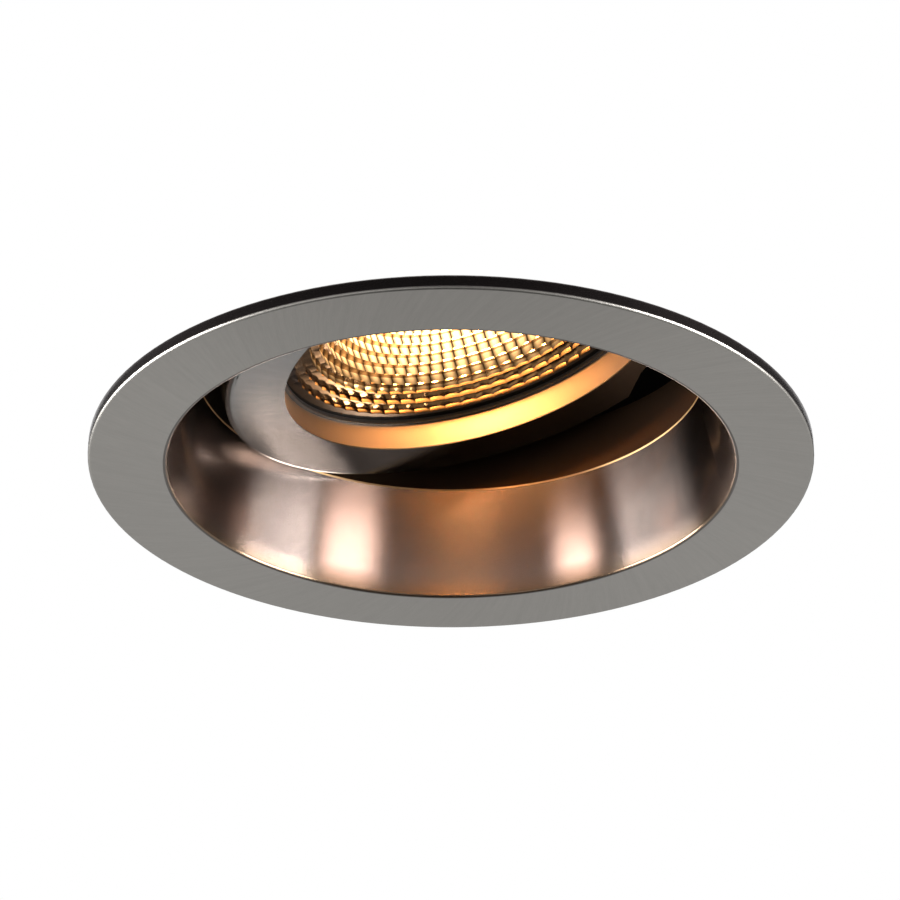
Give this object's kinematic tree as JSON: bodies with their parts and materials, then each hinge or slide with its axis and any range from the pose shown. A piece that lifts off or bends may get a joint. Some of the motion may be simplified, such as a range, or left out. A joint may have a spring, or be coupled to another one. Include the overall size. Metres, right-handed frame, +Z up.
{
  "type": "recessed spotlight",
  "caption": "Round recessed ceiling spotlight with a brushed flange, a deep polished cone, a tilting lamp with a faceted reflector and heat sink, and sprung ceiling clips.",
  "frame": {"origin": "centre of the flange's rear face, in the plane of the ceiling's surface", "axes": "+Z up into the ceiling; the lamp shines down, and its tilt axis runs along Y; as stored its beam leans towards +X"},
  "size_m": [0.168, 0.12, 0.0762],
  "materials": {
    "trim": "satin nickel plated casting, brushed flange and polished cone",
    "ring": "satin nickel plated casting, brushed face",
    "gasket": "matt",
    "mirror": "faceted, warm and bright",
    "emitter": "glowing warm phosphor",
    "board": "white solder resist",
    "holder": "matt",
    "pad": "matt",
    "heat_sink": "die cast, matt",
    "housing": "die cast, matt",
    "nylon": "natural",
    "screw_steel": "zinc plated",
    "sheet_steel": "zinc plated sheet",
    "pin_steel": "plain",
    "spring_steel": "plain wire",
    "sleeve": "soft, matt"
  },
  "bodies": {
    "trim": {"trim_ring": "trim", "pivot_screw_front": "screw_steel", "pivot_screw_rear": "screw_steel", "pivot_washer_front": "nylon", "pivot_washer_rear": "nylon", "clip_bracket_right": "sheet_steel", "clip_bracket_left": "sheet_steel", "clip_pin_right": "pin_steel", "clip_pin_left": "pin_steel", "clip_spring_right": "spring_steel", "clip_spring_left": "spring_steel", "clip_screws": "screw_steel"},
    "lamp": {"tilt_ring": "ring", "rim_gasket": "gasket", "reflector": "mirror", "led_emitter": "emitter", "led_board": "board", "led_holder": "holder", "holder_screws": "screw_steel", "thermal_pad": "pad", "lamp_housing": "housing", "housing_screws": "screw_steel", "heat_sink": "heat_sink", "heat_sink_screws": "screw_steel", "lead_grommet": "gasket"},
    "clip_right": {"clip_arm_right": "sheet_steel", "clip_pad_right": "sleeve"},
    "clip_left": {"clip_arm_left": "sheet_steel", "clip_pad_left": "sleeve"}
  },
  "joints": [
    {"name": "lamp_tilt", "type": "hinge", "parent": "trim", "child": "lamp", "pos_m": [0, 0, 0.0346], "axis": [0, -1, 0], "range_deg": [-44.7, 15.3]},
    {"name": "clip_right_fold", "type": "hinge", "parent": "trim", "child": "clip_right", "pos_m": [0.05105, 0, 0.016], "axis": [0, -1, 0], "range_deg": [0, 110], "stiffness_Nm_per_rad": 0.05, "springref_deg": -57.3, "deforming": ["clip_spring_right"]},
    {"name": "clip_left_fold", "type": "hinge", "parent": "trim", "child": "clip_left", "pos_m": [-0.05105, 0, 0.016], "axis": [0, 1, 0], "range_deg": [0, 110], "stiffness_Nm_per_rad": 0.05, "springref_deg": -57.3, "deforming": ["clip_spring_left"]}
  ]
}
